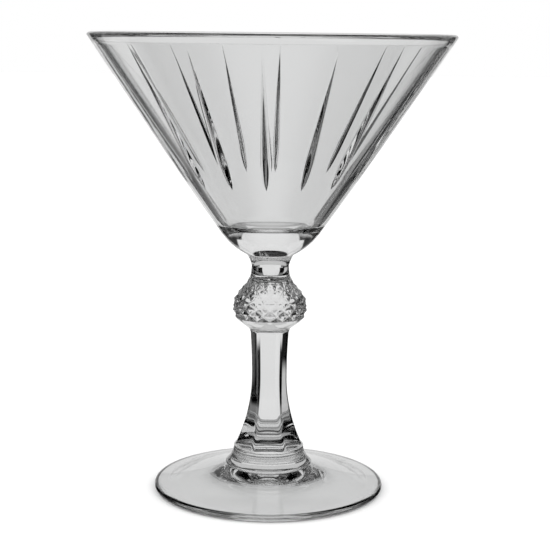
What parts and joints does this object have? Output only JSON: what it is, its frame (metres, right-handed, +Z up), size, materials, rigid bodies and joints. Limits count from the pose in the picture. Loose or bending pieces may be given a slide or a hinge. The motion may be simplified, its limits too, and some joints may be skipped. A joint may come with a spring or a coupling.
{
  "type": "martini glass",
  "caption": "Stemmed martini glass with a wide conical bowl cut with leaf-shaped flutes, a diamond-cut knop, a faceted flaring stem and a round bell-shaped foot.",
  "frame": {"origin": "centre of the foot, on the surface the glass stands on", "axes": "+Z up along the axis of the glass, from the foot to the lip; -Y is the front, which a flat side of the stem faces; +X is to the right seen from the front"},
  "size_m": [0.1158, 0.1158, 0.1473],
  "materials": {
    "clear_glass": "polished clear glass"
  },
  "bodies": {
    "root": {"bowl": "clear_glass", "bowl_base": "clear_glass", "neck_collar": "clear_glass", "knop": "clear_glass", "stem": "clear_glass", "stem_pad": "clear_glass", "foot": "clear_glass"}
  },
  "joints": []
}
